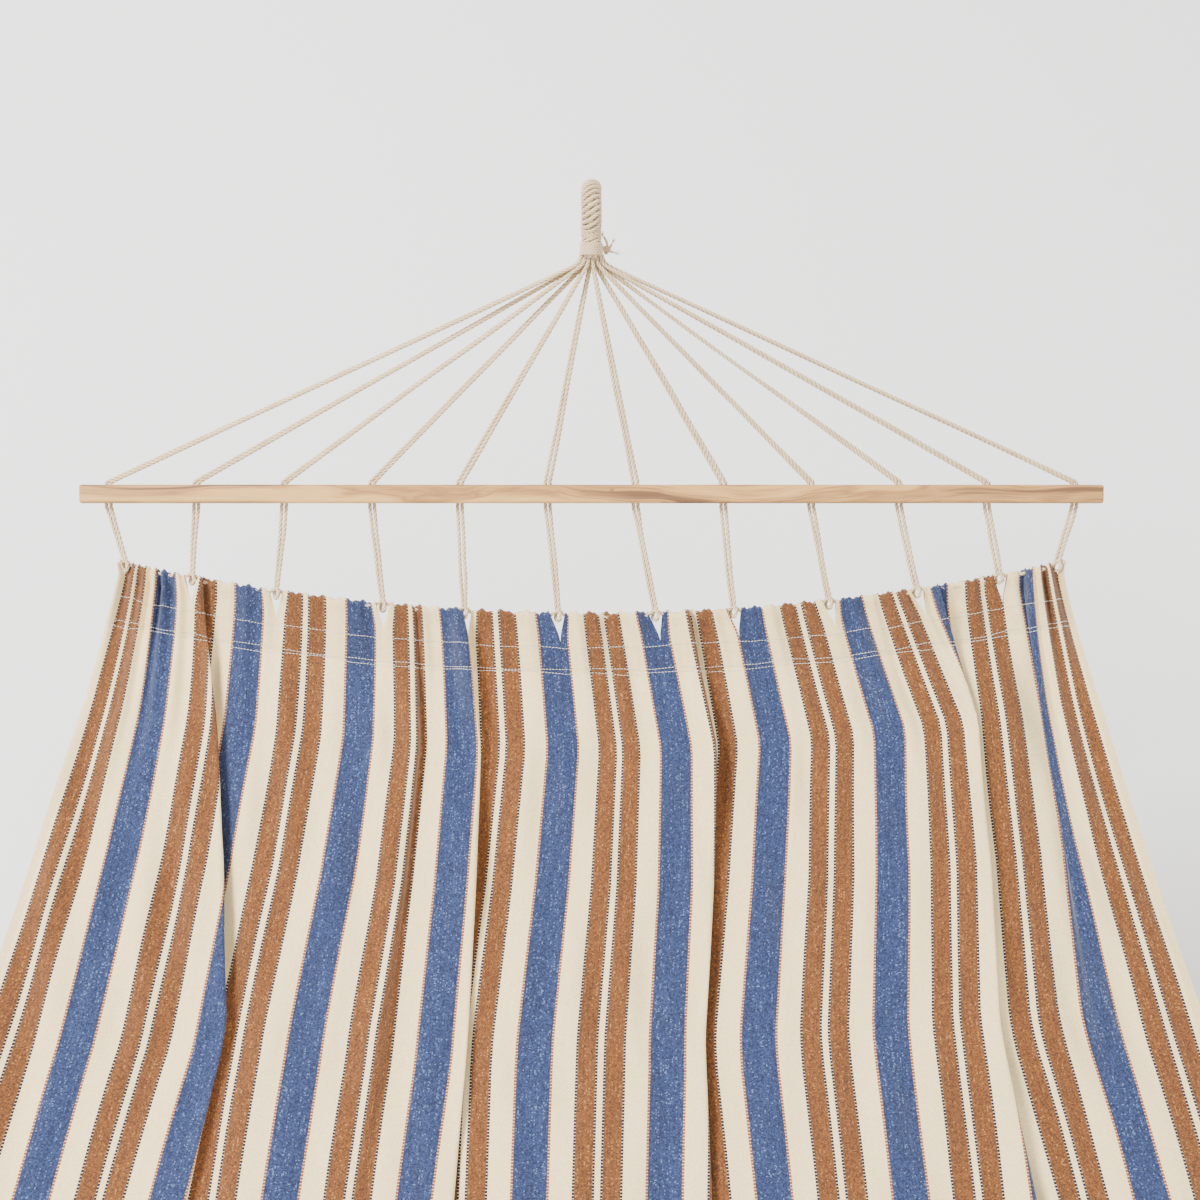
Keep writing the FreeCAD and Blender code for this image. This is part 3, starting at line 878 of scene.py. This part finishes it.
def hem_gathers(u):
    """How the hem's gathers are spread: the share of them up to each place, and how tight they are there."""
    bounds = np.array([-FLAT_WIDTH / 2, *BLUE_CENTRES, FLAT_WIDTH / 2])
    hidden = np.diff(bounds) - np.diff([-HEM_HALF_WIDTH, *BLUE_AT_HEM, HEM_HALF_WIDTH])
    for fold in FOLDS:
        hidden[np.searchsorted(bounds, fold["middle"][0]) - 1] -= fold["hidden"][0]
    hidden = np.clip(hidden, 0.003, None)
    share = np.interp(u, bounds, np.concatenate([[0], np.cumsum(hidden / hidden.sum())]))
    tightness = np.interp(u, (bounds[1:] + bounds[:-1]) / 2, hidden / np.diff(bounds))
    return share, tightness


def folded_row(u, down, gathered):
    """One row across the cloth with its folds: x, height, half the width, and the width left for gathers."""
    wide = float(half_width(HEM_CORNER_DROP + down * (HALF_RUN - HEM_CORNER_DROP) / HALF_LENGTH))
    spare = FLAT_WIDTH - 2 * wide
    hidden = np.array([np.interp(down, FOLD_PLACES, fold["hidden"]) for fold in FOLDS])
    hidden *= 1 - smooth(FOLD_PLACES[-1], FOLDS_GONE, down)
    if hidden.sum() > 0:
        hidden *= min(1.0, 0.97 * spare / hidden.sum())
    rest = spare - hidden.sum()
    x = u - gathered * rest
    height = np.zeros_like(u)
    for fold, width in zip(FOLDS, hidden):
        at_hem, below = fold["middle"]
        middle = np.interp(down, (0.0, FOLD_PLACES[-1], FOLDS_GONE), (at_hem, below, below))
        lost, raised = one_fold(u, middle, width, fold["top"])
        x = x - lost
        height = height + raised
    x = x - (x[0] + x[-1]) / 2
    x *= wide / x[-1]
    return x, height, wide, rest


def layer_gap(down):
    """How far a layer stands off the cloth's middle surface, as the hem's two layers hold the header rope."""
    body = CHANNEL - 0.0004
    if down < body:
        gap = body * math.sqrt(max(0.0, 1 - (1 - down / body)**2))
    else:
        gap = body * math.exp(-((down - body) / 0.010)**2)
    return max(gap, 0.0006 if down > 0.002 else 0.0)


def half_bed(u, rows):
    """Points of the head half of the cloth, and their places on the flat cloth, one array for each row."""
    gathered, tightness = hem_gathers(u)
    phase = np.cumsum(random_along(u, 0.75, 1.35, 31)) * (u[1] - u[0])
    lean = random_along(u, -1, 1, 23)
    strength = random_along(u, 0.35, 1.25, 41)
    creases = [(rng.uniform(35, 130), rng.uniform(-38, 38), rng.uniform(0, 6)) for _ in range(7)]
    points = []
    flat = []
    for v in rows:
        down = abs(v)
        x, height, wide, rest = folded_row(u, down, gathered)
        distance = hem_line(np.clip(x, -HEM_HALF_WIDTH, HEM_HALF_WIDTH))
        distance = distance + down * (HALF_RUN - distance) / HALF_LENGTH
        pucker = 0.0016 * np.sin(phase * 240 + 3 * lean) * strength + 0.0010 * np.sin(phase * 620)
        distance = distance + pucker * math.exp(-down / 0.020)

        # small pleats of the gathering, which die away below the hem
        pleat_pitch = 0.030
        gather = rest / 0.30 * tightness * 2.6
        pleat = 2 * math.pi * (phase / pleat_pitch + lean * down * 2.2)
        fade = strength * math.exp(-max(down - 0.02, 0) / 0.15)
        height = height + 0.0034 * np.clip(gather, 0, 1.5) * fade * np.sin(pleat)
        height = height + 0.0016 * fade * np.sin(pleat * 0.43 + 1.3)
        # broad shallow waves lower down, and creases all over
        lower_part = smooth(0.5, 1.0, down)
        wave = smooth(0.05, 0.35, down) * (1 - smooth(0.6, 1.0, down))
        height = height + 0.0035 * np.sin(u * 16 + 2.0 * lean + down * 3) * wave
        for across, along, start in creases:
            height = height + 0.0011 * np.sin(u * across + down * along + start) * (1 - 0.6 * lower_part)
        # the middle of the bed hangs a little lower than its edges
        height = height - 0.010 * smooth(0.1, 1.0, down) * (1 - (x / wide)**2)

        # the header rope holds the hem's fold flatter
        squeeze = 1.0 if down > 0.015 else 0.55
        height = height * (squeeze + (1 - squeeze) * min(1.0, down / 0.03))
        height = height + np.sign(v) * layer_gap(down)
        y, z = bed_side(distance, height)
        points.append(np.stack([x, y, z], axis=1))
        flat.append(np.stack([u, np.full_like(u, down)], axis=1))
    return np.array(points), np.array(flat)


def notch_opening(place, v):
    """Half the gap between a notch's sides, at a place v from the hem's fold."""
    depth = NOTCH_DEPTH if abs(place) < 0.49 else CORNER_NOTCH_DEPTH
    return NOTCH_HALF * max(0.0, 1 - abs(v) / depth)


def spread_notches(head, u, rows, columns):
    """Pushes the cloth away from each notch, so that the notch's sides can stand apart."""
    for column, place in zip(columns, HEM_PLACES):
        offset = np.arange(len(u)) - column
        push = np.sign(offset) * np.exp(-np.abs(offset) * (u[1] - u[0]) / 0.014)
        for row, v in enumerate(rows):
            head[row, :, 0] += notch_opening(place, v) * push


def cut_notches(head, head_flat, rows, columns):
    """Gives each notch a second line of points for its right side, and returns their numbers and all points."""
    right_side = {}
    extra = []
    extra_flat = []
    for column, place in zip(columns, HEM_PLACES):
        for row, v in enumerate(rows):
            open_by = notch_opening(place, v)
            if open_by > 0:
                right_side[(row, column)] = head.shape[0] * head.shape[1] + len(extra)
                extra.append(head[row, column] + np.array([open_by, 0, 0]))
                extra_flat.append(head_flat[row, column])
                head[row, column, 0] -= open_by
    points = np.concatenate([head.reshape(-1, 3), np.array(extra)])
    flats = np.concatenate([head_flat.reshape(-1, 2), np.array(extra_flat)])
    return right_side, points, flats


def bed_faces(right_side, row_count, column_count):
    def left(row, column):
        return row * column_count + column

    def right(row, column):
        return right_side.get((row, column), left(row, column))

    return [(right(row, column), left(row, column + 1), left(row + 1, column + 1), right(row + 1, column))
            for row in range(row_count - 1) for column in range(column_count - 1)]


def clean_loose(piece):
    work = bmesh.new()
    work.from_mesh(piece.data)
    loose = [vertex for vertex in work.verts if not vertex.link_faces]
    bmesh.ops.delete(work, geom=loose, context="VERTS")
    work.to_mesh(piece.data)
    work.free()


def make_bed(material, cotton, thread):
    u = flat_columns()
    rows = flat_rows()
    head, head_flat = half_bed(u, rows)
    hem_x, _, hem_z = head[int(np.argmin(np.abs(rows)))].T.copy()
    plain_z = bed_side(hem_line(hem_x), np.zeros_like(hem_x))[1]
    channel = np.stack([hem_x, hem_z - plain_z], axis=1)
    columns = [int(np.argmin(np.abs(hem_x - place))) for place in HEM_PLACES]
    spread_notches(head, u, rows, columns)
    right_side, head_points, head_uv = cut_notches(head, head_flat, rows, columns)
    head_faces = bed_faces(right_side, len(rows), len(u))

    # the foot half is the head half turned round, joined along the middle row
    size = len(head_points)
    seam = list(range((len(rows) - 1) * len(u), len(rows) * len(u)))
    twin = {size + number: other for number, other in zip(seam, reversed(seam))}
    foot_points = half_turn(head_points)
    foot_uv = np.stack([-head_uv[:, 0], FLAT_LENGTH - head_uv[:, 1]], axis=1)
    foot_faces = [tuple(twin.get(size + number, size + number) for number in face) for face in head_faces]
    head_points[seam] = (head_points[seam] + half_turn(head_points[seam])[::-1]) / 2
    piece = new_piece("bed_cloth_woven", np.concatenate([head_points, foot_points]), head_faces + foot_faces,
                      material, uv=np.concatenate([head_uv, foot_uv]))
    clean_loose(piece)
    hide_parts("bed_cloth")
    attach(piece, "bed")
    threads = [make_stitches(end, head, rows, u, thread) for end in ("head", "foot")]
    ropes = [make_header_rope(end, channel, cotton) for end in ("head", "foot")]


def make_stitches(end, head, rows, u, material):
    """Three rows of lockstitch across the hem, each stitch a short thread that dips in at its ends."""
    pitch = 0.0036
    stitch = 0.0027
    margin = 0.004
    over_cloth = 0.0002
    lift = np.array([-0.0003, 0.0003, 0.0004, 0.0003, -0.0003])
    upper = [row for row, v in enumerate(rows) if v >= 0]
    depths = rows[upper]
    bundle = Bundle()
    for depth in STITCH_ROWS:
        after = int(np.searchsorted(depths, depth))
        share = (depth - depths[after - 1]) / (depths[after] - depths[after - 1])
        line = head[upper[after - 1]] * (1 - share) + head[upper[after]] * share
        below = head[upper[after]] - head[upper[after - 1]]
        normal = np.cross(np.gradient(line, axis=0), -below)
        normal /= np.linalg.norm(normal, axis=1)[:, None]
        drift = np.interp(u, np.linspace(-FLAT_WIDTH / 2, FLAT_WIDTH / 2, 40), rng.normal(0, 0.0011, 40))
        line = line + below / np.linalg.norm(below, axis=1)[:, None] * drift[:, None] + normal * over_cloth
        lengths = np.concatenate([[0], np.cumsum(np.linalg.norm(np.diff(line, axis=0), axis=1))])
        for start in np.arange(margin, lengths[-1] - margin, pitch):
            at = start + stitch * np.array([0.0, 0.25, 0.5, 0.75, 1.0])
            path = np.stack([np.interp(at, lengths, line[:, k]) for k in range(3)], axis=1)
            ups = np.stack([np.interp(at, lengths, normal[:, k]) for k in range(3)], axis=1)
            bundle.add(path + ups * lift[:, None], 0.00042, lay=0.003, step=0.0009, plies=1)
    piece = bundle.piece(f"{end}_hem_stitching", material, end)
    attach(piece, "bed")
    return piece


# ---------------------------------------------------------------- everything

make_camera()
make_studio()
# the third colour given to each cord material is the painted shade in the grooves between its plies
cotton = cord_material("cotton_cord", linear(246, 224, 182), linear(230, 202, 156), linear(150, 116, 76))
white_thread = cord_material("sewing_thread", linear(250, 246, 234), linear(240, 234, 218),
                             linear(214, 204, 184))
wood = wood_material()
for end in ("head", "foot"):
    bar = frame["nodes"][f"{end}_bar"]
    bar.data.materials.clear()
    bar.data.materials.append(wood)
    make_upper_cords(end, cotton)
    make_bar_cords(end, cotton)
    make_lower_loops(end, cotton)
    make_core(end, cotton)
    make_whipping(end, cotton)
    make_binding(end, cotton)
    make_knot(end, cotton)
make_bed(cloth_material(), cotton, white_thread)
